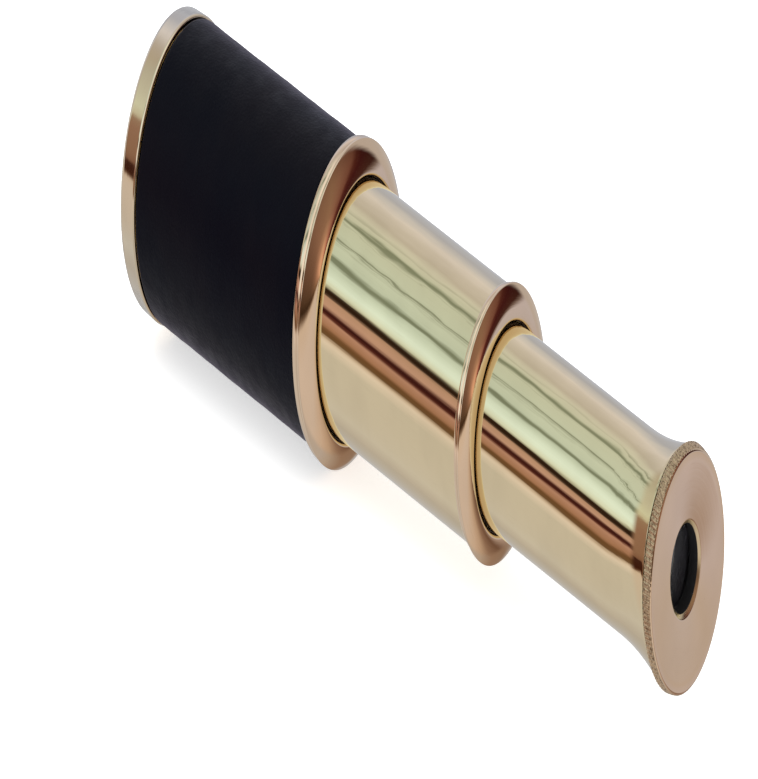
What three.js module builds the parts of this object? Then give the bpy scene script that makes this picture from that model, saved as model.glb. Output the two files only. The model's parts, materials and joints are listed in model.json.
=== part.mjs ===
// A brass pull-out kaleidoscope: a leather-covered barrel, a turning object cell full of loose glass,
// a mirror prism on the optical axis, and two draw tubes that slide out behind it.
//
// Millimetres, +Z up. The kaleidoscope lies on its two widest rings with its optical axis level along X and
// the eyepiece towards +X. The origin is on the surface it lies on, under the middle of its length.
// A station is a distance along the optical axis from the front of the objective bezel.

import * as THREE from 'three';

// ---------------------------------------------------------------- driving dimensions

const overallLength = 152;

// Clearances
const slidingGap = 0.3;
const seatGap = 0.2;
const feltGap = 0.12;

// Objective bezel and barrel
const bezelRadius = 16.5;
const bezelWidth = 4.4;
const barrelStart = bezelWidth + slidingGap;
const barrelTubeEnd = 53.9;
const barrelTubeRadius = 15.6;
const barrelBoreRadius = 14.9;
const leatherEnd = 52.4;
const leatherRadius = 16.3;

// Collars: each is a ring on the end of an outer tube, which the next draw tube slides through
const barrelCollar = {
  back: 52.7, shoulder: 54.2, front: 57.1, beadRadius: 17.1, beadWidth: 1.4, radius: 17.2, feltLength: 1.4,
};
const middleCollar = {
  back: 97.3, shoulder: 98.2, front: 100.7, beadRadius: 14.1, beadWidth: 1.1, radius: 14.4, feltLength: 0.9,
};
const beadRise = 0.15;
const creaseWidth = 0.2;
const creaseDepth = 0.1;
const collarLandWidth = 0.4;
const collarCrown = 0.3;
const feltThickness = 0.8;

// Draw tubes
const tubeWall = 0.8;
const middleTubeRadius = 13.55;
const middleTubeStart = 52.0;
const middleTubeEnd = middleCollar.shoulder - slidingGap;
const eyeTubeRadius = 10.6;
const eyeTubeStart = 96.0;

// Trumpet flare and eye cap
const flareStart = 137.5;
const flareEnd = 149.6;
const flareRadius = 12.2;
const eyeCapBack = 149.9;
const eyeCapRadius = 12.6;
const eyeFaceRadius = 12.25;
const eyeHoleRadius = 4.5;
const eyeDishDepth = 0.7;
const eyeSpigotStart = 142.5;
const eyeWebStart = 147.9;

// Split guide rings at the inner ends of the draw tubes
const ringSeat = 0.4;
const ringLength = 1.5;
const ringGrooveDepth = 0.3;
const ringSlotAngle = 0.16;

// Object cell, from the front backwards
const apertureRadius = 12.0;
const chamberRadius = 12.0;
const windowRadius = 12.9;
const windowThickness = 1.3;
const chamberDepth = 4.6;
const retainerLength = 1.0;
const frontWindowStart = 1.5;
const spacerStart = frontWindowStart + windowThickness + seatGap;
const innerWindowStart = spacerStart + chamberDepth + seatGap;
const retainerStart = innerWindowStart + windowThickness + seatGap;
const neckEnd = retainerStart + retainerLength + seatGap;

// Spring ring that holds the turning cell in the barrel
const snapRingStart = 6.6;
const snapRingEnd = 7.6;
const snapRingInner = 14.1;
const snapRingOuter = 15.0;
const snapRingSlotAngle = 0.5;

// Mirror prism: three strips round the optical axis, in a black sleeve
const mirrorPlateStart = neckEnd + slidingGap;
const mirrorPlateThickness = 0.7;
const mirrorStart = mirrorPlateStart + mirrorPlateThickness + seatGap;
const mirrorLength = 44;
const mirrorWidth = 13.2;
const mirrorThickness = 1.2;
const mirrorInset = 4.1;
const sleeveRadius = 9.3;
const sleeveWall = 0.5;
const sleeveEnd = mirrorStart + mirrorLength + 1.1;

const sides = 48;
const innerSides = 36;

// ---------------------------------------------------------------- finishes

function finish(color, roughness, metalness, opacity = 1) {
  return new THREE.MeshStandardMaterial({
    color,
    roughness,
    metalness,
    opacity,
    transparent: opacity < 1,
  });
}

const brass = () => finish(0xc9a45c, 0.18, 1.0);
const springBrass = () => finish(0xb08d4a, 0.35, 1.0);
const leather = () => finish(0x1b191f, 0.6, 0.0);
const felt = () => finish(0x2a2320, 0.95, 0.0);
const blackPlastic = () => finish(0x16161a, 0.55, 0.0);
const blackCard = () => finish(0x18181a, 0.85, 0.0);
const clearGlass = () => finish(0xe8f0ee, 0.05, 0.0, 0.35);
const frostedGlass = () => finish(0xe4ebea, 0.55, 0.0, 0.6);
const mirrorGlass = () => finish(0xd8dde0, 0.04, 1.0);
const beadColors = [0xb3202a, 0x1f5fae, 0x2c8f4e, 0xd98c1f, 0x7b3fa0, 0x2aa7a0];

// ---------------------------------------------------------------- building helpers

const kaleidoscope = new THREE.Group();

// The whole object is built about the X axis, then lifted so that its widest ring touches Z = 0.
const restingHeight = barrelCollar.radius * Math.cos(Math.PI / sides);
kaleidoscope.position.set(-overallLength / 2, 0, restingHeight);

function add(name, geometry, material) {
  const mesh = new THREE.Mesh(geometry, material);
  mesh.name = name;
  kaleidoscope.add(mesh);
  return mesh;
}

// A solid turned about the optical axis. The outline is a list of [radius, station] points that runs
// eyewards along the outside and back along the inside, and it is closed here unless it ends on the axis.
function turned(name, outline, material, count = sides) {
  const points = outline.map(([radius, station]) => new THREE.Vector2(radius, station));
  if (outline[0][0] > 0) {
    points.push(points[0].clone());
  }
  const geometry = new THREE.LatheGeometry(points, count, Math.PI / count);
  const mesh = add(name, geometry, material);
  mesh.rotation.z = -Math.PI / 2;
  return mesh;
}

// The closed outline of a plain ring.
function ringOutline(inner, outer, start, end) {
  return [[inner, start], [outer, start], [outer, end], [inner, end]];
}

// The closed outline of a plain disc.
function discOutline(radius, start, end) {
  return [[0, start], [radius, start], [radius, end], [0, end]];
}

// Points from one [radius, station] to another, bowed outwards to the left of the line by the given height.
function crowned([radiusA, stationA], [radiusB, stationB], height, steps) {
  const across = radiusB - radiusA;
  const along = stationB - stationA;
  const length = Math.hypot(across, along);
  const points = [];
  for (let i = 0; i <= steps; i += 1) {
    const t = i / steps;
    const bow = height * 4 * t * (1 - t);
    points.push([radiusA + across * t + bow * along / length, stationA + along * t - bow * across / length]);
  }
  return points;
}

// A flat shape in the plane across the optical axis, extruded eyewards from a station.
function extruded(name, shape, start, length, material, curveSegments = sides) {
  const options = { depth: length, bevelEnabled: false, curveSegments };
  const mesh = add(name, new THREE.ExtrudeGeometry(shape, options), material);
  mesh.rotation.y = Math.PI / 2;
  mesh.position.x = start;
  return mesh;
}

// A ring with a slot cut through it, so that it can be sprung open.
function splitRingShape(inner, outer, slotAngle) {
  const shape = new THREE.Shape();
  shape.absarc(0, 0, outer, slotAngle / 2, Math.PI * 2 - slotAngle / 2, false);
  shape.absarc(0, 0, inner, Math.PI * 2 - slotAngle / 2, slotAngle / 2, true);
  shape.closePath();
  return shape;
}

// A round plate with a triangular opening the size of the prism's clear bore.
function prismPlateShape(radius) {
  const shape = new THREE.Shape();
  shape.absarc(0, 0, radius, 0, Math.PI * 2, false);
  const opening = new THREE.Path();
  const corner = mirrorInset * 2 - 0.8;
  for (let i = 0; i < 3; i += 1) {
    const angle = -i * Math.PI * 2 / 3;
    const x = corner * Math.cos(angle);
    const y = corner * Math.sin(angle);
    if (i === 0) {
      opening.moveTo(x, y);
    } else {
      opening.lineTo(x, y);
    }
  }
  opening.closePath();
  shape.holes.push(opening);
  return shape;
}

// ---------------------------------------------------------------- barrel

function addBarrel() {
  const grooveRadius = snapRingOuter + seatGap;
  turned('barrel_tube', [
    [barrelBoreRadius, barrelStart],
    [barrelTubeRadius, barrelStart],
    [barrelTubeRadius, barrelTubeEnd],
    [barrelBoreRadius, barrelTubeEnd],
    [barrelBoreRadius, snapRingEnd + seatGap],
    [grooveRadius, snapRingEnd + seatGap],
    [grooveRadius, snapRingStart - seatGap],
    [barrelBoreRadius, snapRingStart - seatGap],
  ], brass());

  const edge = 0.5;
  const edgeDrop = 0.3;
  const leatherInner = barrelTubeRadius + 0.1;
  turned('leather_wrap', [
    [leatherInner, barrelStart],
    [leatherRadius - edgeDrop, barrelStart],
    [leatherRadius, barrelStart + edge],
    [leatherRadius, leatherEnd - edge],
    [leatherRadius - edgeDrop, leatherEnd],
    [leatherInner, leatherEnd],
  ], leather());

  addCollar('barrel_collar', barrelCollar, barrelTubeRadius, middleTubeRadius);
}

// A collar caps the end of an outer tube and has a recess for that tube's end. Its outside is a low bead, a
// crease, a narrow land and a crowned cone; a felt liner in its bore grips the draw tube that slides through.
function addCollar(name, collar, outerTubeRadius, drawTubeRadius) {
  const bore = drawTubeRadius + slidingGap;
  const recess = outerTubeRadius + 0.15;
  const feltEnd = collar.front - 0.7;
  const feltStart = feltEnd - collar.feltLength;
  const feltOuter = bore + feltThickness;
  const beadFoot = collar.beadRadius - beadRise;
  const beadEnd = collar.back + collar.beadWidth;
  const landStart = beadEnd + creaseWidth;
  turned(name, [
    [recess, collar.back],
    ...crowned([beadFoot, collar.back], [beadFoot, beadEnd], beadRise, 4),
    [beadFoot - creaseDepth, beadEnd + creaseWidth / 2],
    [collar.radius, landStart],
    ...crowned([collar.radius, landStart + collarLandWidth], [bore + 0.25, collar.front], collarCrown, 5),
    [bore, collar.front - 0.2],
    [bore, feltEnd + seatGap],
    [feltOuter + seatGap, feltEnd + seatGap],
    [feltOuter + seatGap, feltStart - seatGap],
    [bore, feltStart - seatGap],
    [bore, collar.shoulder],
    [recess, collar.shoulder],
  ], brass());
  const liner = ringOutline(drawTubeRadius + feltGap, feltOuter, feltStart, feltEnd);
  turned(name + '_felt', liner, felt());
}

// ---------------------------------------------------------------- turning object cell

function addObjectCell() {
  const cavityRadius = windowRadius + slidingGap;
  const neckRadius = barrelBoreRadius - slidingGap;
  const grooveRadius = snapRingInner - seatGap;
  const lipThickness = frontWindowStart - seatGap;
  turned('objective_bezel', [
    [apertureRadius + 0.6, 0],
    [bezelRadius - 0.7, 0],
    [bezelRadius - 0.2, 0.2],
    [bezelRadius, 0.7],
    [bezelRadius, bezelWidth - 0.3],
    [bezelRadius - 0.2, bezelWidth],
    [neckRadius, bezelWidth],
    [neckRadius, snapRingStart - seatGap],
    [grooveRadius, snapRingStart - seatGap],
    [grooveRadius, snapRingEnd + seatGap],
    [neckRadius, snapRingEnd + seatGap],
    [neckRadius, neckEnd],
    [cavityRadius, neckEnd],
    [cavityRadius, lipThickness],
    [apertureRadius, lipThickness],
    [apertureRadius, 0.6],
  ], brass());

  const snapRing = splitRingShape(snapRingInner, snapRingOuter, snapRingSlotAngle);
  extruded('cell_snap_ring', snapRing, snapRingStart, snapRingEnd - snapRingStart, springBrass());

  const frontPane = discOutline(windowRadius, frontWindowStart, frontWindowStart + windowThickness);
  turned('frosted_window', frontPane, frostedGlass());
  const wall = ringOutline(chamberRadius, windowRadius, spacerStart, spacerStart + chamberDepth);
  turned('cell_spacer', wall, brass());
  const innerPane = discOutline(windowRadius, innerWindowStart, innerWindowStart + windowThickness);
  turned('inner_window', innerPane, clearGlass());
  const retainer = ringOutline(chamberRadius - 0.6, windowRadius, retainerStart, retainerStart + retainerLength);
  turned('cell_retaining_ring', retainer, brass());

  addBeads(spacerStart + chamberDepth / 2);
}

// Loose glass lies at the bottom of the chamber: an outer row along the wall and two rows above it.
function addBeads(station) {
  const rows = [
    { count: 5, size: 1.8, fromAxis: chamberRadius - slidingGap - 1.8, step: 0.42 },
    { count: 4, size: 1.45, fromAxis: 6.2, step: 0.56 },
    { count: 3, size: 1.15, fromAxis: 3.1, step: 0.95 },
  ];
  const shapes = [roundBead, glassChip, bugleBead, bicone];
  let number = 0;
  for (const row of rows) {
    for (let i = 0; i < row.count; i += 1) {
      const angle = (i - (row.count - 1) / 2) * row.step;
      const geometry = shapes[number % shapes.length](row.size);
      const color = beadColors[number % beadColors.length];
      number += 1;
      const bead = add('bead_' + String(number).padStart(2, '0'), geometry, finish(color, 0.1, 0.0, 0.8));
      bead.position.set(station, row.fromAxis * Math.sin(angle), -row.fromAxis * Math.cos(angle));
      bead.rotation.set(angle, number * 0.7, 0);
    }
  }
}

function roundBead(size) {
  return new THREE.SphereGeometry(size, 12, 8);
}

function glassChip(size) {
  return new THREE.DodecahedronGeometry(size);
}

function beadOfRevolution(outline, count) {
  return new THREE.LatheGeometry(outline.map(([radius, height]) => new THREE.Vector2(radius, height)), count);
}

function bugleBead(size) {
  const bore = size * 0.25;
  const radius = size * 0.55;
  const half = size * 0.75;
  return beadOfRevolution([[bore, -half], [radius, -half], [radius, half], [bore, half], [bore, -half]], 12);
}

function bicone(size) {
  const tip = size * 0.8;
  const neck = size * 0.35;
  return beadOfRevolution([[0, -tip], [neck, -tip], [size, 0], [neck, tip], [0, tip]], 8);
}

// ---------------------------------------------------------------- mirror prism

function addMirrors() {
  const mount = prismPlateShape(barrelBoreRadius - slidingGap);
  extruded('mirror_mount', mount, mirrorPlateStart, mirrorPlateThickness, blackPlastic());

  const sleeveBore = sleeveRadius - sleeveWall;
  const sleeve = ringOutline(sleeveBore, sleeveRadius, mirrorStart, sleeveEnd);
  turned('mirror_sleeve', sleeve, blackCard(), innerSides);

  for (let i = 0; i < 3; i += 1) {
    const side = new THREE.Group();
    side.rotation.x = i * Math.PI * 2 / 3;
    kaleidoscope.add(side);
    const strip = new THREE.BoxGeometry(mirrorLength, mirrorWidth, mirrorThickness);
    const mirror = new THREE.Mesh(strip, mirrorGlass());
    mirror.name = 'mirror_' + (i + 1);
    mirror.position.set(mirrorStart + mirrorLength / 2, 0, -mirrorInset - mirrorThickness / 2);
    side.add(mirror);
  }

  const capStart = mirrorStart + mirrorLength + slidingGap;
  const cap = prismPlateShape(sleeveBore - seatGap);
  extruded('mirror_end_cap', cap, capStart, sleeveEnd - capStart, blackPlastic(), innerSides);
}

// ---------------------------------------------------------------- draw tubes

// The inner end of a draw tube, with the groove that carries its split guide ring.
function ringGroove(radius, start) {
  const floor = radius - ringGrooveDepth;
  const grooveStart = start + ringSeat - seatGap;
  const grooveEnd = start + ringSeat + ringLength + seatGap;
  return [[radius, start], [radius, grooveStart], [floor, grooveStart], [floor, grooveEnd], [radius, grooveEnd]];
}

function addGuideRing(name, tubeRadius, boreRadius, tubeStart) {
  const inner = tubeRadius - ringGrooveDepth / 2;
  const outer = boreRadius - slidingGap;
  const ring = splitRingShape(inner, outer, ringSlotAngle);
  extruded(name, ring, tubeStart + ringSeat, ringLength, springBrass());
}

function addMiddleDraw() {
  const bore = middleTubeRadius - tubeWall;
  turned('middle_tube', [
    [bore, middleTubeStart],
    ...ringGroove(middleTubeRadius, middleTubeStart),
    [middleTubeRadius, middleTubeEnd],
    [bore, middleTubeEnd],
  ], brass());
  addGuideRing('middle_guide_ring', middleTubeRadius, barrelBoreRadius, middleTubeStart);
  addCollar('middle_collar', middleCollar, middleTubeRadius, eyeTubeRadius);
}

// The trumpet flare at the eye end leaves the straight tube smoothly and opens ever faster.
function flareOutline(startRadius, endRadius) {
  const steps = 8;
  const points = [];
  for (let i = 1; i <= steps; i += 1) {
    const t = i / steps;
    points.push([startRadius + (endRadius - startRadius) * t ** 2, flareStart + (flareEnd - flareStart) * t]);
  }
  return points;
}

function addEyeDraw() {
  const bore = eyeTubeRadius - tubeWall;
  turned('eye_tube', [
    [bore, eyeTubeStart],
    ...ringGroove(eyeTubeRadius, eyeTubeStart),
    [eyeTubeRadius, flareStart],
    ...flareOutline(eyeTubeRadius, flareRadius),
    ...flareOutline(bore, flareRadius - tubeWall).reverse(),
    [bore, flareStart],
  ], brass());
  addGuideRing('eye_guide_ring', eyeTubeRadius, middleTubeRadius - tubeWall, eyeTubeStart);

  const spigotRadius = bore - slidingGap;
  const seatRadius = spigotRadius - 1.0;
  turned('eye_cap', [
    [seatRadius, eyeSpigotStart],
    [spigotRadius, eyeSpigotStart],
    [spigotRadius, eyeCapBack],
    [eyeCapRadius - 0.2, eyeCapBack],
    [eyeCapRadius, eyeCapBack + 0.25],
    [eyeFaceRadius + 0.1, overallLength - 0.3],
    [eyeFaceRadius - 0.2, overallLength],
    [eyeFaceRadius - 1.0, overallLength],
    [eyeHoleRadius + 0.5, overallLength - eyeDishDepth],
    [eyeHoleRadius, overallLength - eyeDishDepth - 0.5],
    [eyeHoleRadius, eyeWebStart + 0.6],
    [eyeHoleRadius + 0.9, eyeWebStart],
    [seatRadius, eyeWebStart],
  ], brass());

  const paneRadius = seatRadius - slidingGap;
  const paneStart = eyeWebStart - seatGap - windowThickness;
  const pane = discOutline(paneRadius, paneStart, paneStart + windowThickness);
  turned('eye_window', pane, clearGlass(), innerSides);
  const keeperEnd = paneStart - seatGap;
  const keeper = ringOutline(paneRadius - 1.4, paneRadius, keeperEnd - 1.8, keeperEnd);
  turned('eye_window_ring', keeper, brass(), innerSides);
}

addBarrel();
addObjectCell();
addMirrors();
addMiddleDraw();
addEyeDraw();

export default kaleidoscope;
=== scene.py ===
"""Looks for the brass pull-out kaleidoscope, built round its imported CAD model. Blender 4.5, metres, +Z up.

Every turned CAD piece is turned again here as a smooth solid with rounded edges, and every flat piece and
bead is copied with bevelled edges. Each kind of piece has a procedural material of its own.
"""

import json
import math

import bmesh
import bpy
import numpy as np
from mathutils import Euler, Matrix, Vector


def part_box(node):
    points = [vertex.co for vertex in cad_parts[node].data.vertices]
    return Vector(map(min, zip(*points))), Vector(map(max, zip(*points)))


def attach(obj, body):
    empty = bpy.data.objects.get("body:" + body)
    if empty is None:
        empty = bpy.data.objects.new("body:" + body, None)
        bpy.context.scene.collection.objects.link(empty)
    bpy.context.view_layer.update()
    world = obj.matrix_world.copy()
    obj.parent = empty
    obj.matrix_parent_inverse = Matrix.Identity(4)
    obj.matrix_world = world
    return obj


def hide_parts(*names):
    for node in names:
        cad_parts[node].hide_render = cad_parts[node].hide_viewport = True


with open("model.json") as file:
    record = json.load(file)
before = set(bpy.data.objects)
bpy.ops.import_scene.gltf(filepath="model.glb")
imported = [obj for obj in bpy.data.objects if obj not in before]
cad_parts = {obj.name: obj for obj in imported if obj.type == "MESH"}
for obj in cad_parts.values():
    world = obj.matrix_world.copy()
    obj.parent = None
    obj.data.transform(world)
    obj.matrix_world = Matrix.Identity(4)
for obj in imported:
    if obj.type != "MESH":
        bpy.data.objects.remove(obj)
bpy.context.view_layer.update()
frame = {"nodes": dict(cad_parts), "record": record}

MM = 0.001
SAME_PLACE = 1e-7

# ---------------------------------------------------------------- places taken from the frame

NODES = frame["nodes"]
BODIES = frame["record"]["behaviour"]["bodies"]
BODY_OF = {node: body for body, members in BODIES.items() for node in members}
SLOT_OF = {part["node"]: part["material_slot"] for part in frame["record"]["subparts"]}

# The optical axis is level, along X. Every turned piece is centred on it.
collar_low, collar_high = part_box("barrel_collar")
AXIS_HEIGHT = (collar_low.z + collar_high.z) / 2


# ---------------------------------------------------------------- node graphs

GENERATED_OUTPUT = 0
OBJECT_OUTPUT = 3


class Graph:
    """A material's or the world's node tree. Each call adds a node and returns its output socket."""

    def __init__(self, tree):
        self.tree = tree
        tree.nodes.clear()

    def add(self, kind, output=0, settings=None, **inputs):
        node = self.tree.nodes.new(kind)
        for key, value in (settings or {}).items():
            setattr(node, key, value)
        for key, value in inputs.items():
            self.feed(node.inputs[key.replace("_", " ")], value)
        return node.outputs[output] if node.outputs else None

    def feed(self, socket, value):
        if isinstance(value, bpy.types.NodeSocket):
            self.tree.links.new(value, socket)
        else:
            socket.default_value = value

    def math(self, operation, *values):
        node = self.tree.nodes.new("ShaderNodeMath")
        node.operation = operation
        for socket, value in zip(node.inputs, values):
            self.feed(socket, value)
        return node.outputs[0]

    def vector(self, operation, *values):
        node = self.tree.nodes.new("ShaderNodeVectorMath")
        node.operation = operation
        for socket, value in zip(node.inputs, values):
            self.feed(socket, value)
        return node.outputs[0]

    def separate(self, vector):
        node = self.tree.nodes.new("ShaderNodeSeparateXYZ")
        self.feed(node.inputs[0], vector)
        return node.outputs[0], node.outputs[1], node.outputs[2]

    def combine(self, x, y, z):
        return self.add("ShaderNodeCombineXYZ", X=x, Y=y, Z=z)

    def coordinates(self, output):
        return self.add("ShaderNodeTexCoord", output=output)

    def remap(self, value, low, high, to_low=0.0, to_high=1.0, smooth=True):
        node = self.tree.nodes.new("ShaderNodeMapRange")
        node.interpolation_type = "SMOOTHSTEP" if smooth else "LINEAR"
        for socket, number in zip(node.inputs[:5], (value, low, high, to_low, to_high)):
            self.feed(socket, number)
        return node.outputs[0]

    def mix(self, factor, first, second, blend="MIX"):
        node = self.tree.nodes.new("ShaderNodeMix")
        node.data_type = "RGBA"
        node.blend_type = blend
        self.feed(node.inputs[0], factor)
        self.feed(node.inputs[6], first)
        self.feed(node.inputs[7], second)
        return node.outputs[2]

    def noise(self, vector, scale, detail=2.0, roughness=0.5):
        return self.add("ShaderNodeTexNoise", Vector=vector, Scale=scale, Detail=detail, Roughness=roughness)

    def bump(self, height, distance, strength=1.0, normal=None):
        node = self.tree.nodes.new("ShaderNodeBump")
        node.inputs["Strength"].default_value = strength
        node.inputs["Distance"].default_value = distance
        self.feed(node.inputs["Height"], height)
        if normal is not None:
            self.feed(node.inputs["Normal"], normal)
        return node.outputs[0]


def rgb(red, green, blue):
    return (red, green, blue, 1.0)


def gray(level):
    return (level, level, level)


def new_material(name):
    material = bpy.data.materials.new(name)
    material.use_nodes = True
    return material, Graph(material.node_tree)


def principled(graph, **inputs):
    """Ends a graph in a Principled shader. Keys are its input names with _ for a blank."""
    shader = graph.add("ShaderNodeBsdfPrincipled", **inputs)
    graph.add("ShaderNodeOutputMaterial", Surface=shader)


def axis_coordinates(graph):
    """Object coordinates in millimetres from the optical axis: station, sideways and up."""
    x, y, z = graph.separate(graph.coordinates(OBJECT_OUTPUT))
    station = graph.math("MULTIPLY", x, 1 / MM)
    side = graph.math("MULTIPLY", y, 1 / MM)
    up = graph.math("MULTIPLY", graph.math("SUBTRACT", z, AXIS_HEIGHT), 1 / MM)
    return station, side, up


def axis_place(graph):
    """The same coordinates as one vector."""
    return graph.combine(*axis_coordinates(graph))


def axis_distance(graph, side, up):
    square = graph.math("ADD", graph.math("MULTIPLY", side, side), graph.math("MULTIPLY", up, up))
    return graph.math("SQRT", square)


# ---------------------------------------------------------------- materials

DRAWN_BRASS = rgb(0.62, 0.49, 0.33)
TURNED_BRASS = rgb(0.62, 0.455, 0.335)
BEZEL_BRASS = rgb(0.59, 0.475, 0.355)
BRASS_TARNISH = rgb(0.30, 0.21, 0.12)


def brass_material(name, grain, base, roughness=0.05, seed=0.0, stain=0.12, lean=0.0):
    """Polished, lacquered brass. Grain is "drawn" for lines along a tube or "turned" for rings from a lathe.

    Stain is how much of the tarnish colour the grain and the specks carry. Lean tips the polish towards the
    far end, as a buffing wheel does on a narrow band.
    """
    material, g = new_material(name)
    station, side, up = axis_coordinates(g)
    radius = axis_distance(g, side, up)
    place = g.combine(station, side, g.math("ADD", up, seed))
    clouds = g.noise(place, 0.09, 3.0, 0.55)
    specks = g.noise(place, 2.4, 4.0, 0.7)
    if grain == "drawn":
        wobble = g.noise(g.combine(g.math("MULTIPLY", station, 0.05), side, up), 0.24, 1.0)
        lines = g.noise(g.combine(g.math("MULTIPLY", station, 0.03), side, up), 1.3, 2.0)
        hairs = g.noise(g.combine(g.math("MULTIPLY", station, 0.02), side, up), 8.0, 2.0)
        upper = g.remap(g.math("DIVIDE", up, radius), 0.52, 0.70)
        ripple = g.noise(g.combine(g.math("MULTIPLY", station, 0.20), side, up), 0.30, 2.0, 0.42)
        normal = g.bump(wobble, 0.15 * MM, 0.6)
        normal = g.bump(g.math("MULTIPLY", ripple, upper), 0.14 * MM, 0.6, normal)
        normal = g.bump(lines, 0.008 * MM, 0.6, normal)
        normal = g.bump(hairs, 0.0010 * MM, 0.5, normal)
    else:
        wander = g.math("MULTIPLY", g.noise(place, 0.12), 0.6)
        wobble = g.noise(place, 0.12, 1.0)
        lines = g.noise(g.combine(g.math("ADD", station, wander), radius, seed), 2.6, 3.0, 0.6)
        hairs = g.noise(g.combine(station, radius, g.math("MULTIPLY", side, 0.03)), 11.0, 2.0)
        normal = g.bump(wobble, 0.12 * MM, 0.5)
        normal = g.bump(lines, 0.010 * MM, 0.5, normal)
        normal = g.bump(hairs, 0.002 * MM, 0.5, normal)
    deeper = tuple(channel * 0.94 for channel in base[:3])
    color = g.mix(g.remap(clouds, 0.35, 0.7), base, rgb(*deeper))
    worn = g.math("MAXIMUM", g.remap(specks, 0.64, 0.80), g.remap(hairs, 0.62, 0.80))
    color = g.mix(g.math("MULTIPLY", worn, stain), color, BRASS_TARNISH)
    wear = g.math("ADD", g.remap(clouds, 0.4, 0.75), g.remap(hairs, 0.55, 0.75))
    rough = g.math("MULTIPLY_ADD", wear, roughness, roughness)
    if lean:
        normal = g.vector("NORMALIZE", g.vector("ADD", normal, (-lean, 0.0, 0.0)))
    principled(g, Base_Color=color, Metallic=1.0, Roughness=rough, Normal=normal)
    return material


def reeded_material():
    """The eye cap's reeded rim: brass with brown dirt held between the reeds."""
    material, g = new_material("reeded_brass")
    place = axis_place(g)
    dirt = g.noise(place, 2.6, 4.0, 0.75)
    color = g.mix(g.remap(dirt, 0.42, 0.68), rgb(0.44, 0.30, 0.19), rgb(0.12, 0.070, 0.040))
    rough = g.remap(dirt, 0.35, 0.7, 0.20, 0.48)
    normal = g.bump(dirt, 0.03 * MM, 0.7)
    principled(g, Base_Color=color, Metallic=0.85, Roughness=rough, Normal=normal)
    return material


def blackened_material():
    """Matt black paint inside the brass tubes, thin enough for a little brass to show through."""
    material, g = new_material("blackened_bore")
    place = axis_place(g)
    worn = g.remap(g.noise(place, 0.9, 4.0, 0.65), 0.62, 0.78)
    color = g.mix(g.math("MULTIPLY", worn, 0.35), rgb(0.010, 0.010, 0.012), rgb(0.09, 0.07, 0.045))
    normal = g.bump(g.noise(place, 6.0, 3.0), 0.03 * MM)
    principled(g, Base_Color=color, Roughness=0.6, Normal=normal)
    return material


def spring_material():
    material, g = new_material("spring_brass")
    station, side, up = axis_coordinates(g)
    radius = axis_distance(g, side, up)
    place = g.combine(station, side, up)
    cloud = g.noise(place, 0.4, 3.0)
    color = g.mix(cloud, rgb(0.50, 0.38, 0.19), rgb(0.36, 0.26, 0.12))
    lines = g.noise(g.combine(g.math("MULTIPLY", station, 8.0), radius, 0.0), 3.0, 2.0)
    rough = g.remap(cloud, 0.3, 0.8, 0.26, 0.42)
    principled(g, Base_Color=color, Metallic=1.0, Roughness=rough, Normal=g.bump(lines, 0.02 * MM))
    return material


def leather_material():
    """Smooth black bookbinder's leather: fine grain and shallow creases round the barrel."""
    material, g = new_material("black_leather")
    station, side, up = axis_coordinates(g)
    place = g.combine(station, side, up)
    pebbles = g.add(
        "ShaderNodeTexVoronoi", settings={"feature": "SMOOTH_F1"}, Vector=place, Scale=2.1, Smoothness=0.6,
    )
    pores = g.noise(place, 5.5, 3.0, 0.6)
    creases = g.noise(g.combine(g.math("MULTIPLY", station, 0.9), side, up), 0.35, 4.0, 0.6)
    cloud = g.noise(place, 0.06, 3.0, 0.5)
    color = g.mix(g.remap(cloud, 0.35, 0.68), rgb(0.0020, 0.0020, 0.0050), rgb(0.0036, 0.0028, 0.0054))
    color = g.mix(g.math("MULTIPLY", g.remap(pores, 0.60, 0.80), 0.4), color, rgb(0.002, 0.002, 0.003))
    rough = g.remap(creases, 0.3, 0.7, 0.40, 0.52)
    normal = g.bump(pebbles, 0.05 * MM, 0.55)
    normal = g.bump(pores, 0.02 * MM, 0.6, normal)
    normal = g.bump(creases, 0.12 * MM, 0.5, normal)
    principled(
        g, Base_Color=color, Roughness=rough, Normal=normal, Specular_IOR_Level=0.035,
        Sheen_Weight=0.15, Sheen_Roughness=0.26, Sheen_Tint=rgb(0.74, 0.62, 0.94),
    )
    return material


def felt_material():
    material, g = new_material("dark_felt")
    place = axis_place(g)
    fibres = g.noise(place, 7.0, 6.0, 0.75)
    color = g.mix(fibres, rgb(0.024, 0.012, 0.008), rgb(0.075, 0.042, 0.029))
    principled(
        g, Base_Color=color, Roughness=0.95, Normal=g.bump(fibres, 0.05 * MM),
        Sheen_Weight=0.5, Sheen_Roughness=0.6, Sheen_Tint=rgb(0.3, 0.26, 0.24),
    )
    return material


def black_plastic_material():
    material, g = new_material("black_plastic")
    place = axis_place(g)
    spark = g.noise(place, 8.0, 3.0, 0.6)
    cloud = g.noise(place, 0.3, 2.0)
    color = g.mix(cloud, rgb(0.008, 0.008, 0.009), rgb(0.014, 0.014, 0.016))
    rough = g.remap(cloud, 0.3, 0.7, 0.42, 0.58)
    principled(g, Base_Color=color, Roughness=rough, Normal=g.bump(spark, 0.02 * MM))
    return material


def black_card_material():
    material, g = new_material("black_card")
    station, side, up = axis_coordinates(g)
    fibres = g.noise(g.combine(g.math("MULTIPLY", station, 0.5), side, up), 4.0, 5.0, 0.7)
    color = g.mix(fibres, rgb(0.010, 0.010, 0.010), rgb(0.030, 0.029, 0.028))
    principled(g, Base_Color=color, Roughness=0.9, Normal=g.bump(fibres, 0.05 * MM))
    return material


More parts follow.
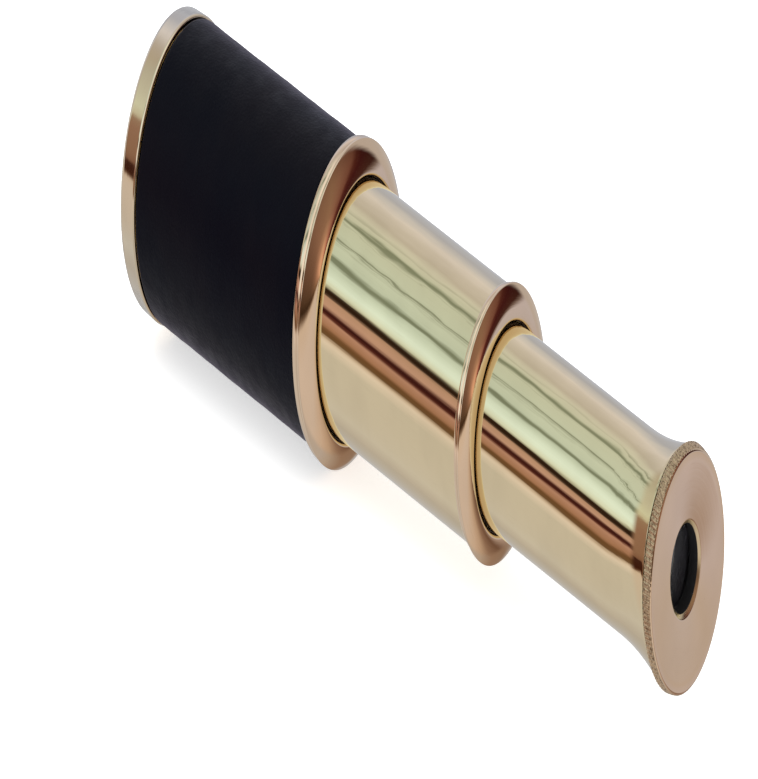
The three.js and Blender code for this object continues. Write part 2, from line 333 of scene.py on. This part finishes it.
def mirror_material():
    material, g = new_material("mirror_glass")
    place = axis_place(g)
    smear = g.noise(place, 0.5, 3.0)
    color = g.mix(smear, rgb(0.86, 0.89, 0.90), rgb(0.80, 0.84, 0.85))
    rough = g.remap(smear, 0.4, 0.8, 0.01, 0.05)
    normal = g.bump(g.noise(place, 0.15, 1.0), 0.02 * MM, 0.2)
    principled(g, Base_Color=color, Metallic=1.0, Roughness=rough, Normal=normal)
    return material


def clear_glass_material():
    material, g = new_material("clear_glass")
    dust = g.noise(axis_place(g), 3.0, 5.0, 0.7)
    rough = g.remap(dust, 0.55, 0.8, 0.0, 0.12)
    color = g.mix(g.remap(dust, 0.6, 0.85), rgb(0.93, 0.90, 1.00), rgb(0.86, 0.84, 0.92))
    principled(g, Base_Color=color, Roughness=rough, IOR=1.5, Transmission_Weight=0.975)
    return material


def frosted_glass_material():
    material, g = new_material("frosted_glass")
    grit = g.noise(axis_place(g), 9.0, 4.0, 0.7)
    color = g.mix(grit, rgb(0.93, 0.95, 0.94), rgb(0.84, 0.87, 0.87))
    rough = g.remap(grit, 0.3, 0.7, 0.20, 0.32)
    principled(
        g, Base_Color=color, Roughness=rough, IOR=1.45, Transmission_Weight=0.94,
        Normal=g.bump(grit, 0.006 * MM),
    )
    return material


def bead_material(slot, color):
    """Coloured glass with seed bubbles and a slightly uneven tint."""
    material, g = new_material(slot)
    coords = g.coordinates(OBJECT_OUTPUT)
    swirl = g.noise(coords, 420.0, 2.0)
    deep = tuple(channel * 0.55 for channel in color)
    tint = g.mix(swirl, rgb(*color), rgb(*deep))
    bubbles = g.remap(g.noise(coords, 1900.0, 2.0), 0.66, 0.74)
    rough = g.remap(bubbles, 0.0, 1.0, 0.03, 0.2)
    principled(g, Base_Color=tint, Roughness=rough, IOR=1.52, Transmission_Weight=0.5)
    return material


# ---------------------------------------------------------------- outlines of turned pieces

SEGMENTS = 192
AXIS_TOUCH = 1e-6
PLANE_TOUCH = 1e-9

# A corner that turns by less than this belongs to a curved stretch or, below the second, to a straight one.
GENTLE_TURN = math.radians(32)
STRAIGHT_TURN = math.radians(0.8)

# A rounded edge takes at most this share of the outline's line on either side of it.
EDGE_SHARE = 0.42


def section(node):
    """A turned CAD node's outline: (station, radius) points in order, and whether it closes on itself."""
    mesh = bmesh.new()
    mesh.from_mesh(NODES[node].data)
    bmesh.ops.remove_doubles(mesh, verts=mesh.verts, dist=SAME_PLACE)
    axis = Vector((0, 0, AXIS_HEIGHT))
    widest = max(math.hypot(v.co.y, v.co.z - AXIS_HEIGHT) for v in mesh.verts)
    everything = mesh.verts[:] + mesh.edges[:] + mesh.faces[:]
    cut = bmesh.ops.bisect_plane(
        mesh, geom=everything, dist=PLANE_TOUCH, plane_co=axis, plane_no=(0, 1, 0),
    )
    neighbours = {}
    for item in cut["geom_cut"]:
        is_edge = isinstance(item, bmesh.types.BMEdge)
        if is_edge and all(v.co.z > AXIS_HEIGHT - AXIS_TOUCH for v in item.verts):
            first, second = item.verts
            neighbours.setdefault(first, []).append(second)
            neighbours.setdefault(second, []).append(first)
    ends = [v for v, linked in neighbours.items() if len(linked) == 1]
    chain = [ends[0] if ends else next(iter(neighbours))]
    previous = None
    while True:
        following = [v for v in neighbours[chain[-1]] if v is not previous]
        if not following or following[0] is chain[0]:
            break
        previous = chain[-1]
        chain.append(following[0])
    points = [(v.co.x, v.co.z - AXIS_HEIGHT) for v in chain]
    flat_to_corner = widest / max(radius for _, radius in points)
    mesh.free()
    outline = [(station, radius * flat_to_corner) for station, radius in points]
    return without_straight_points(outline, not ends), not ends


def turn_angle(before, here, after):
    first = math.atan2(here[1] - before[1], here[0] - before[0])
    second = math.atan2(after[1] - here[1], after[0] - here[0])
    return abs(math.remainder(second - first, math.tau))


def without_straight_points(outline, closed):
    """Drops the points in the middle of straight stretches."""
    kept = []
    count = len(outline)
    for i, here in enumerate(outline):
        at_end = not closed and i in (0, count - 1)
        if at_end or turn_angle(outline[i - 1], here, outline[(i + 1) % count]) > STRAIGHT_TURN:
            kept.append(here)
    return kept


def rounded(outline, closed, edge, steps=4):
    """Rounds each corner by a curve of reach edge, and joins the chords of a curved stretch smoothly."""
    points = []
    count = len(outline)
    for i, here in enumerate(outline):
        if not closed and i in (0, count - 1):
            points.append(here)
            continue
        before, after = outline[i - 1], outline[(i + 1) % count]
        back = math.dist(here, before)
        ahead = math.dist(here, after)
        gentle = turn_angle(before, here, after) < GENTLE_TURN
        reach = 0.5 * min(back, ahead) if gentle else min(edge, EDGE_SHARE * back, EDGE_SHARE * ahead)
        start = tuple(h + (b - h) * reach / back for h, b in zip(here, before))
        end = tuple(h + (a - h) * reach / ahead for h, a in zip(here, after))
        for k in range(steps + 1):
            t = k / steps
            weights = ((1 - t) ** 2, 2 * t * (1 - t), t * t)
            pulls = list(zip(weights, (start, here, end)))
            points.append(tuple(sum(weight * point[axis] for weight, point in pulls) for axis in (0, 1)))
    return without_repeats(points, closed)


def without_repeats(points, closed):
    """Drops each point that lies on the one before it."""
    kept = []
    for point in points:
        if not kept or math.dist(point, kept[-1]) > SAME_PLACE:
            kept.append(point)
    if closed and math.dist(kept[0], kept[-1]) < SAME_PLACE:
        kept.pop()
    return kept


def turned_mesh(name, outline, closed, angles):
    """A solid of revolution about the optical axis, with its corners at the given angles from the top."""
    count = len(angles)
    sines, cosines = np.sin(angles), np.cos(angles)
    vertices, rings = [], []
    for station, radius in outline:
        if radius < AXIS_TOUCH:
            rings.append([len(vertices)] * count)
            vertices.append((station, 0.0, AXIS_HEIGHT))
        else:
            rings.append(list(range(len(vertices), len(vertices) + count)))
            ring = np.stack([np.full(count, station), radius * sines, AXIS_HEIGHT + radius * cosines], 1)
            vertices.extend(ring.tolist())
    faces = []
    last = len(outline) if closed else len(outline) - 1
    for i in range(last):
        near, far = rings[i], rings[(i + 1) % len(rings)]
        for k in range(count):
            corners = (near[k], near[(k + 1) % count], far[(k + 1) % count], far[k])
            faces.append(tuple(dict.fromkeys(corners)))
    mesh = bpy.data.meshes.new(name)
    mesh.from_pydata(vertices, [], faces)
    return finish_mesh(name, mesh)


def even_angles(count):
    return [math.tau * i / count for i in range(count)]


def reshape(piece, change):
    """Moves each vertex in or out from the axis. Change gets its station, radius and angle from the top."""
    for vertex in piece.data.vertices:
        station, side, up = vertex.co.x, vertex.co.y, vertex.co.z - AXIS_HEIGHT
        radius = math.hypot(side, up)
        if radius > AXIS_TOUCH:
            scale = change(station, radius, math.atan2(side, up)) / radius
            vertex.co = (station, side * scale, AXIS_HEIGHT + up * scale)
    piece.data.update()


def finish_mesh(name, mesh):
    """Points the faces outwards, shades them smooth and puts the mesh in the scene."""
    work = bmesh.new()
    work.from_mesh(mesh)
    bmesh.ops.recalc_face_normals(work, faces=work.faces)
    work.to_mesh(mesh)
    work.free()
    mesh.shade_smooth()
    piece = bpy.data.objects.new(name, mesh)
    bpy.context.scene.collection.objects.link(piece)
    return piece


def crisp(piece):
    """Keeps flat faces flat in the shading, so that only the rounded edges turn the light."""
    modifier = piece.modifiers.new("flat faces", "WEIGHTED_NORMAL")
    modifier.weight = 100
    modifier.thresh = 0.01


def stand_for(piece, node, material):
    """The piece shows in place of a CAD node, and rides with the node's body."""
    if not piece.data.materials:
        piece.data.materials.append(material)
    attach(piece, BODY_OF[node])
    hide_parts(node)


def turn(node, material, edge=0.12 * MM, bore=None, segments=SEGMENTS):
    """Turns a CAD node again with fine rounded edges. Bore is a material for the faces towards the axis."""
    outline, closed = section(node)
    piece = turned_mesh(node + "_turned", rounded(outline, closed, edge), closed, even_angles(segments))
    crisp(piece)
    piece.data.materials.append(material)
    if bore is not None:
        piece.data.materials.append(bore)
        paint_bore(piece)
    stand_for(piece, node, material)
    return piece


def paint_bore(piece):
    """Gives the faces that look towards the axis the piece's second material."""
    for face in piece.data.polygons:
        outward = Vector((0, face.center.y, face.center.z - AXIS_HEIGHT)).normalized()
        if face.normal.dot(outward) < -0.5:
            face.material_index = 1


# ---------------------------------------------------------------- pieces

def make_turned_pieces(materials):
    drawn, turned, black = materials["drawn"], materials["turned"], materials["bore"]
    for node in ("barrel_tube", "middle_tube", "eye_tube"):
        turn(node, drawn, bore=black)
    for node in ("barrel_collar", "middle_collar"):
        turn(node, turned)
    make_bezel(materials)
    for node in ("cell_spacer", "cell_retaining_ring"):
        turn(node, turned, 0.08 * MM)
    turn("eye_window_ring", black, 0.08 * MM)
    turn("mirror_sleeve", materials["card"], 0.06 * MM)
    turn("frosted_window", materials["frosted"], 0.2 * MM)
    for node in ("inner_window", "eye_window"):
        turn(node, materials["clear"], 0.2 * MM)
    for node in ("barrel_collar_felt", "middle_collar_felt"):
        turn(node, materials["felt"], 0.15 * MM)


BEZEL_TAPER = 0.16 * MM
BEZEL_BAND_START = 0.2 * MM
BEZEL_BAND_END = 3.9 * MM
BEZEL_BAND_DEPTH = 0.3 * MM


def make_bezel(materials):
    """The bezel's band falls away towards its front, ever faster, as on a band polished by hand."""
    bezel = turn("objective_bezel", materials["band"])
    low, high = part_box("objective_bezel")
    band = (high.y - low.y) / 2 - BEZEL_BAND_DEPTH
    front, back = low.x + BEZEL_BAND_START, low.x + BEZEL_BAND_END

    def tapered(station, radius, angle):
        if radius < band or station > back:
            return radius
        share = min(1.0, (back - station) / (back - front))
        return radius - BEZEL_TAPER * (0.75 * share + 0.25 * share * share)

    reshape(bezel, tapered)


REEDS = 132
REED_DEPTH = 0.13 * MM
REED_SEGMENTS = REEDS * 6
REED_MARGIN = 0.32 * MM

# The black paint ends at the inner edge of the bevel round the eye hole.
HOLE_PAINT = 0.04 * MM
HOLE_BEVEL = 0.5 * MM


def make_eye_cap(materials):
    """The cap's rim is reeded for the fingers. The reeds stop short of a plain lip at each of its edges."""
    cap = turn("eye_cap", materials["turned"], segments=REED_SEGMENTS)
    low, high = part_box("eye_cap")
    rim = (high.y - low.y) / 2 - REED_MARGIN

    def reeded(station, radius, angle):
        inside = min(station - low.x, high.x - station) / REED_MARGIN
        if radius < rim or inside <= 0:
            return radius
        notch = 0.5 + 0.5 * math.cos(REEDS * angle)
        return radius - REED_DEPTH * notch ** 2 * min(1.0, max(0.0, inside - 0.6) * 2)

    reshape(cap, reeded)
    for name in ("reeded", "bore", "bevel"):
        cap.data.materials.append(materials[name])
    hole = min(math.hypot(v.co.y, v.co.z - AXIS_HEIGHT) for v in cap.data.vertices)
    for face in cap.data.polygons:
        outward = Vector((0, face.center.y, face.center.z - AXIS_HEIGHT))
        facing_out = face.normal.dot(outward.normalized())
        on_rim = facing_out > 0.75 and outward.length > rim
        facing_inside = face.normal.x < 0.2 and facing_out < 0.3
        if on_rim:
            face.material_index = 1
        elif facing_inside or outward.length < hole + HOLE_PAINT:
            face.material_index = 2
        elif outward.length < hole + HOLE_BEVEL:
            face.material_index = 3


LEATHER_STEP = 1.0 * MM
LEATHER_EDGE = 0.45 * MM
LEATHER_SLACK = 0.035 * MM
LEATHER_WAVES = 0.012 * MM
SEAM_DEPTH = 0.16 * MM
SEAM_WIDTH = 0.22 * MM
SEAM_ZONE = 0.04


def with_steps(outline, closed, step):
    """Adds points along the long straight stretches of an outline."""
    points = []
    for i, here in enumerate(outline):
        after = outline[(i + 1) % len(outline)]
        has_line_ahead = closed or i + 1 < len(outline)
        pieces = max(1, round(math.dist(here, after) / step)) if has_line_ahead else 1
        points.extend(tuple(h + (a - h) * k / pieces for h, a in zip(here, after)) for k in range(pieces))
    return points


def make_leather(materials):
    """The leather is one sheet glued round the barrel: thinned ends, slightly uneven, a seam underneath."""
    outline, closed = section("leather_wrap")
    fine = with_steps(rounded(outline, closed, LEATHER_EDGE, steps=6), closed, LEATHER_STEP)
    low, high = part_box("leather_wrap")
    outside = (high.y - low.y) / 2 - 0.5 * MM
    beside_seam = [math.pi + SEAM_WIDTH / outside * k / 4 for k in range(-8, 9)]
    away_from_seam = [a for a in even_angles(SEGMENTS) if abs(a - math.pi) > SEAM_ZONE]
    angles = sorted(away_from_seam + beside_seam)
    piece = turned_mesh("leather_wrap_sheet", fine, closed, angles)

    def worn(station, radius, angle):
        if radius < outside:
            return radius
        along = station / MM
        uneven = math.sin(0.31 * along + 2 * angle) + math.sin(0.83 * along - 3 * angle + 1.0)
        uneven += 0.6 * math.sin(1.7 * along + 7 * angle)
        from_seam = (math.pi - abs(angle)) * radius / SEAM_WIDTH
        seam = SEAM_DEPTH * math.exp(-from_seam ** 2)
        return radius - LEATHER_SLACK - LEATHER_WAVES * uneven - seam

    reshape(piece, worn)
    crisp(piece)
    stand_for(piece, "leather_wrap", materials["leather"])


def bevelled_copy(node, material, width):
    """A CAD node's own mesh with rounded edges, as a new piece."""
    mesh = NODES[node].data.copy()
    mesh.materials.clear()
    work = bmesh.new()
    work.from_mesh(mesh)
    bmesh.ops.remove_doubles(work, verts=work.verts, dist=SAME_PLACE)
    bmesh.ops.dissolve_limit(work, angle_limit=math.radians(1), verts=work.verts, edges=work.edges)
    work.to_mesh(mesh)
    work.free()
    piece = finish_mesh(node + "_finished", mesh)
    bevel = piece.modifiers.new("edges", "BEVEL")
    bevel.width = width
    bevel.segments = 3
    bevel.limit_method = "ANGLE"
    bevel.angle_limit = math.radians(30)
    bevel.harden_normals = True
    stand_for(piece, node, material)


def make_flat_pieces(materials):
    for node in ("mirror_mount", "mirror_end_cap"):
        bevelled_copy(node, materials["plastic"], 0.1 * MM)
    for node in ("mirror_1", "mirror_2", "mirror_3"):
        bevelled_copy(node, materials["mirror"], 0.12 * MM)
    for node in ("cell_snap_ring", "middle_guide_ring", "eye_guide_ring"):
        bevelled_copy(node, materials["spring"], 0.08 * MM)


def make_beads():
    colors = {m["slot"]: m["base_color"][:3] for m in frame["record"]["materials"]}
    made = {}
    for node in sorted(NODES):
        if node.startswith("bead_"):
            slot = SLOT_OF[node]
            if slot not in made:
                made[slot] = bead_material(slot, colors[slot])
            bevelled_copy(node, made[slot], 0.12 * MM)


# ---------------------------------------------------------------- surroundings, light and camera

# What the brass mirrors. A place in it has an angle about X, in degrees, and a reach along X from -1 to 1.
# The angle is 0 at the horizon on the camera's side, 90 straight up, 180 at the far horizon and -90 straight
# down. Four lists of (angle, colour) hold the surroundings: from reach -1 to 1 they are FAR_END, ACROSS, GAP
# and EYE_END. The tubes mirror ACROSS as the camera sees them, and GAP as seen straight from the side.
FAR_END = [
    (-90, (0.84, 0.84, 0.80)),
    (-26, (0.94, 0.89, 0.83)),
    (-20, (0.94, 0.85, 0.76)),
    (-17, (0.24, 0.13, 0.08)),
    (-15, (0.07, 0.02, 0.01)),
    (-4, (0.08, 0.03, 0.02)),
    (-2, (0.34, 0.19, 0.13)),
    (6, (0.42, 0.26, 0.18)),
    (32, (0.46, 0.29, 0.21)),
    (41, (0.50, 0.36, 0.26)),
    (46, (0.88, 0.92, 0.74)),
    (56, (0.98, 1.12, 0.94)),
    (74, (0.86, 0.94, 0.82)),
    (98, (0.74, 0.78, 0.68)),
    (112, (0.70, 0.68, 0.58)),
    (130, (0.72, 0.70, 0.66)),
    (160, (0.80, 0.86, 0.96)),
    (200, (0.90, 0.94, 1.00)),
    (260, (0.86, 0.86, 0.84)),
]
ACROSS = [
    (-98, (0.74, 0.74, 0.70)),
    (-82, (0.88, 0.92, 0.90)),
    (-28, (0.90, 0.94, 0.91)),
    (-19, (1.16, 1.14, 1.12)),
    (-15, (0.85, 0.75, 0.66)),
    (-13, (0.24, 0.15, 0.08)),
    (-8, (0.24, 0.13, 0.06)),
    (-5, (0.58, 0.34, 0.23)),
    (3, (0.74, 0.46, 0.38)),
    (5, (0.16, 0.05, 0.04)),
    (8, (0.05, 0.01, 0.01)),
    (10, (0.16, 0.06, 0.05)),
    (12, (0.84, 0.58, 0.50)),
    (18, (0.76, 0.53, 0.43)),
    (20, (0.05, 0.03, 0.02)),
    (25, (0.04, 0.02, 0.01)),
    (26.5, (0.60, 0.66, 0.56)),
    (29, (1.10, 1.36, 1.30)),
    (35, (1.20, 1.62, 1.70)),
    (44, (0.92, 1.24, 1.24)),
    (96, (0.90, 1.10, 1.04)),
    (108, (1.00, 1.14, 1.12)),
    (120, (0.80, 0.84, 0.84)),
    (146, (1.04, 1.08, 1.16)),
    (156, (0.86, 0.92, 1.02)),
    (168, (0.62, 0.68, 0.80)),
    (190, (0.58, 0.62, 0.70)),
    (220, (0.60, 0.60, 0.60)),
    (260, (0.70, 0.70, 0.66)),
]
GAP = [
    (-98, (0.72, 0.74, 0.72)),
    (-40, (0.76, 0.78, 0.76)),
    (-14, (0.94, 0.90, 0.84)),
    (-10, (0.34, 0.22, 0.15)),
    (-2, (0.46, 0.29, 0.20)),
    (3, (0.14, 0.07, 0.04)),
    (7, (0.46, 0.32, 0.24)),
    (13, (1.40, 1.52, 1.50)),
    (46, (1.40, 1.52, 1.50)),
    (62, (1.20, 1.32, 1.26)),
    (80, (1.40, 1.52, 1.50)),
    (104, (1.30, 1.40, 1.38)),
    (126, (0.74, 0.76, 0.76)),
    (216, (0.74, 0.76, 0.76)),
    (228, (0.40, 0.30, 0.22)),
    (238, (0.46, 0.34, 0.25)),
    (250, (0.68, 0.64, 0.56)),
    (260, (0.72, 0.74, 0.74)),
]
EYE_END = [
    (-98, (0.90, 0.82, 0.70)),
    (-84, (0.94, 0.92, 0.86)),
    (-40, (0.98, 0.96, 0.90)),
    (-15, (0.98, 0.92, 0.80)),
    (-9, (0.30, 0.22, 0.15)),
    (-4, (0.07, 0.04, 0.02)),
    (6, (0.16, 0.10, 0.06)),
    (24, (0.25, 0.15, 0.10)),
    (58, (0.40, 0.25, 0.17)),
    (98, (0.44, 0.29, 0.19)),
    (116, (0.40, 0.23, 0.16)),
    (134, (0.30, 0.14, 0.10)),
    (141, (0.14, 0.04, 0.03)),
    (150, (0.09, 0.02, 0.02)),
    (166, (0.10, 0.04, 0.03)),
    (170, (0.30, 0.24, 0.22)),
    (176, (0.80, 0.84, 0.94)),
    (190, (0.78, 0.82, 0.90)),
    (204, (0.78, 0.76, 0.72)),
    (216, (0.82, 0.83, 0.90)),
    (224, (0.58, 0.50, 0.44)),
    (230, (0.24, 0.15, 0.10)),
    (240, (0.42, 0.30, 0.22)),
    (250, (0.76, 0.64, 0.50)),
    (260, (0.90, 0.80, 0.68)),
]
RAMP_START, RAMP_END = -100.0, 260.0

# The reaches between which one list fades into the next.
FAR_END_TO_ACROSS = (-0.86, -0.81)
ACROSS_TO_GAP = (-0.40, -0.22)
GAP_TO_EYE_END = (0.16, 0.34)

# How strongly the foliage darkens ACROSS at each angle, in two wide streaks.
STREAKS_START, STREAKS_END = 40.0, 112.0
STREAK_COLOR = rgb(0.20, 0.27, 0.18)
WIDE_STREAKS = [
    (40, 0.0), (44, 0.05), (47, 0.80), (50, 0.84), (55, 0.1), (66, 0.0), (70, 0.3), (74, 0.05),
    (89, 0.05), (92, 0.75), (94, 0.80), (98, 0.1), (112, 0.0),
]

# Above the horizon the eye end grows brighter with reach: (reach, share of EYE_END_BRIGHTEST).
EYE_END_BRIGHTNESS = [(0.3, 0.22), (0.6, 0.30), (0.8, 0.33), (0.9, 0.36), (0.96, 0.54), (1.0, 1.0)]
EYE_END_BRIGHTEST = 2.8

# What a mirrored piece of brass shows in its turn.
SECOND_MIRROR = rgb(1.25, 1.35, 1.05)


def color_bands(g, factor, bands, start, end):
    """A colour ramp through the (place, colour) pairs, over places from start to end."""
    ramp = g.tree.nodes.new("ShaderNodeValToRGB")
    g.feed(ramp.inputs[0], factor)
    stops = ramp.color_ramp.elements
    for index, (place, color) in enumerate(bands):
        position = (place - start) / (end - start)
        stop = stops[index] if index < 2 else stops.new(position)
        stop.position = position
        stop.color = rgb(*color)
    return ramp.outputs[0]


def foliage(g, angle, reach):
    """How much green shade lies at a place: two wide streaks and many thin ones, which wander along X."""
    wander = g.noise(g.combine(g.math("MULTIPLY", reach, 9.0), 0.0, 0.0), 1.0)
    shifted = g.math("MULTIPLY_ADD", wander, 16.0, g.math("SUBTRACT", angle, 8.0))
    levels = [(place, gray(share)) for place, share in WIDE_STREAKS]
    place = g.remap(shifted, STREAKS_START, STREAKS_END, smooth=False)
    wide = color_bands(g, place, levels, STREAKS_START, STREAKS_END)
    across = g.math("MULTIPLY_ADD", shifted, 0.13, wander)
    thin = g.remap(g.noise(g.combine(across, 3.7, 0.0), 1.5, 2.0, 0.7), 0.48, 0.64)
    inside = g.math("MULTIPLY", g.remap(angle, 44.0, 52.0), g.remap(angle, 112.0, 100.0))
    return g.math("MAXIMUM", wide, g.math("MULTIPLY", thin, g.math("MULTIPLY", inside, 0.7)))


def brightened(g, eye_end, angle, reach):
    """The eye end's colour, made brighter with reach wherever it lies above the horizon."""
    levels = [(place, gray(share)) for place, share in EYE_END_BRIGHTNESS]
    level = color_bands(g, reach, levels, 0.0, 1.0)
    level = g.mix(1.0, level, rgb(*gray(EYE_END_BRIGHTEST)), "MULTIPLY")
    above = g.math("MULTIPLY", g.remap(angle, -14.0, -6.0), g.remap(angle, 176.0, 166.0))
    return g.mix(above, eye_end, g.mix(1.0, eye_end, level, "MULTIPLY"))


def surroundings(g):
    """The colour of the surroundings in the direction that the world is asked for."""
    reach, y, z = g.separate(g.coordinates(GENERATED_OUTPUT))
    angle = g.math("DEGREES", g.math("ARCTAN2", z, g.math("MULTIPLY", y, -1.0)))
    angle = g.math("WRAP", angle, RAMP_END, RAMP_START)
    place = g.remap(angle, RAMP_START, RAMP_END, smooth=False)
    far_end, across, gap, eye_end = (
        color_bands(g, place, bands, RAMP_START, RAMP_END) for bands in (FAR_END, ACROSS, GAP, EYE_END)
    )
    across = g.mix(foliage(g, angle, reach), across, STREAK_COLOR)
    eye_end = brightened(g, eye_end, angle, reach)
    color = g.mix(g.remap(reach, *FAR_END_TO_ACROSS), far_end, across)
    color = g.mix(g.remap(reach, *ACROSS_TO_GAP), color, gap)
    return g.mix(g.remap(reach, *GAP_TO_EYE_END), color, eye_end)


def make_world():
    """White all round for the camera and for diffuse light. Mirror rays see the surroundings."""
    world = bpy.data.worlds.new("studio")
    bpy.context.scene.world = world
    world.use_nodes = True
    g = Graph(world.node_tree)
    path = world.node_tree.nodes.new("ShaderNodeLightPath")
    mirrored_twice = g.remap(path.outputs["Glossy Depth"], 1.2, 1.8)
    color = g.mix(mirrored_twice, surroundings(g), SECOND_MIRROR)
    mirror = g.add("ShaderNodeBackground", Color=color, Strength=1.0)
    plain = g.add("ShaderNodeBackground", Color=rgb(1.0, 1.0, 1.0), Strength=1.0)
    mix = world.node_tree.nodes.new("ShaderNodeMixShader")
    g.feed(mix.inputs[0], path.outputs["Is Glossy Ray"])
    g.feed(mix.inputs[1], plain)
    g.feed(mix.inputs[2], mirror)
    g.add("ShaderNodeOutputWorld", Surface=mix.outputs[0])


FLOOR_GLOW = 0.62
FLOOR_HALF = 6.0


def make_floor():
    """A pale floor, lit a little from below as a light table is, so that its shadows stay faint."""
    mesh = bpy.data.meshes.new("floor")
    corners = [(FLOOR_HALF * x, FLOOR_HALF * y, 0) for x, y in ((-1, -1), (1, -1), (1, 1), (-1, 1))]
    mesh.from_pydata(corners, [], [(0, 1, 2, 3)])
    floor = bpy.data.objects.new("floor", mesh)
    bpy.context.scene.collection.objects.link(floor)
    floor.visible_glossy = False
    material, g = new_material("pale_floor")
    coords = g.coordinates(OBJECT_OUTPUT)
    cloud = g.noise(coords, 3.0, 2.0)
    color = g.mix(cloud, rgb(0.97, 0.97, 0.97), rgb(0.955, 0.955, 0.955))
    principled(g, Base_Color=color, Roughness=0.9, Emission_Color=color, Emission_Strength=FLOOR_GLOW)
    mesh.materials.append(material)


def make_lights():
    """One large soft light above and behind the camera's left, as wide as a studio window."""
    light = bpy.data.lights.new("soft_window", "AREA")
    light.energy = 6.0
    light.shape = "RECTANGLE"
    light.size, light.size_y = 1.4, 1.0
    lamp = bpy.data.objects.new("soft_window", light)
    bpy.context.scene.collection.objects.link(lamp)
    lamp.location = (-0.6, -0.5, 1.6)
    lamp.rotation_euler = (Vector((0, 0, 0)) - lamp.location).to_track_quat("-Z", "Y").to_euler()
    lamp.visible_glossy = False


# The camera has a long lens pushed far off its axis, which squeezes the picture sideways.
VIEW_AZIMUTH = math.radians(41.902)
VIEW_ELEVATION = math.radians(22.776)
VIEW_DISTANCE = 3.965
LENS_AXIS_AZIMUTH = math.radians(42.986)
LENS_AXIS_RISE = math.radians(40.384)
LENS_ROLL = math.radians(0.702)
LENS = 378.7
LENS_SHIFT = (0.095, -20.833)


def make_camera():
    data = bpy.data.cameras.new("camera")
    camera = bpy.data.objects.new("camera", data)
    bpy.context.scene.collection.objects.link(camera)
    bpy.context.scene.camera = camera
    level = math.cos(VIEW_ELEVATION)
    rise = math.sin(VIEW_ELEVATION)
    back = Vector((math.sin(VIEW_AZIMUTH) * level, -math.cos(VIEW_AZIMUTH) * level, rise))
    camera.location = Vector((0, 0, AXIS_HEIGHT)) + back * VIEW_DISTANCE
    level_lens = Euler((math.pi / 2 + LENS_AXIS_RISE, 0, LENS_AXIS_AZIMUTH)).to_matrix()
    camera.rotation_euler = (level_lens @ Matrix.Rotation(LENS_ROLL, 3, "Z")).to_euler()
    data.lens = LENS
    data.clip_start, data.clip_end = 0.1, 50.0
    for channel, shift in zip(("shift_x", "shift_y"), LENS_SHIFT):
        shift_only_here(camera, channel, shift)


def shift_only_here(camera, channel, shift):
    """Pushes the lens off its axis while the camera stands in its own place, and nowhere else."""
    driver = camera.data.driver_add(channel).driver
    driver.type = "SCRIPTED"
    place = driver.variables.new()
    place.name = "place"
    place.targets[0].id = camera
    place.targets[0].data_path = "location[0]"
    driver.expression = f"{shift} if abs(place - {camera.location.x:.5f}) < 0.0001 else 0.0"


# ---------------------------------------------------------------- put together

materials = {
    "drawn": brass_material("drawn_brass", "drawn", DRAWN_BRASS, roughness=0.015),
    "turned": brass_material("turned_brass", "turned", TURNED_BRASS, roughness=0.04, seed=7.0),
    "band": brass_material("bezel_brass", "turned", BEZEL_BRASS, roughness=0.06, seed=19.0, lean=0.20),
    "bevel": brass_material("bevel_brass", "turned", DRAWN_BRASS, roughness=0.22, seed=31.0),
    "reeded": reeded_material(),
    "bore": blackened_material(),
    "spring": spring_material(),
    "leather": leather_material(),
    "felt": felt_material(),
    "plastic": black_plastic_material(),
    "card": black_card_material(),
    "mirror": mirror_material(),
    "clear": clear_glass_material(),
    "frosted": frosted_glass_material(),
}

make_turned_pieces(materials)
make_eye_cap(materials)
make_leather(materials)
make_flat_pieces(materials)
make_beads()
make_world()
make_floor()
make_lights()
make_camera()
bpy.context.scene.view_settings.view_transform = "Standard"
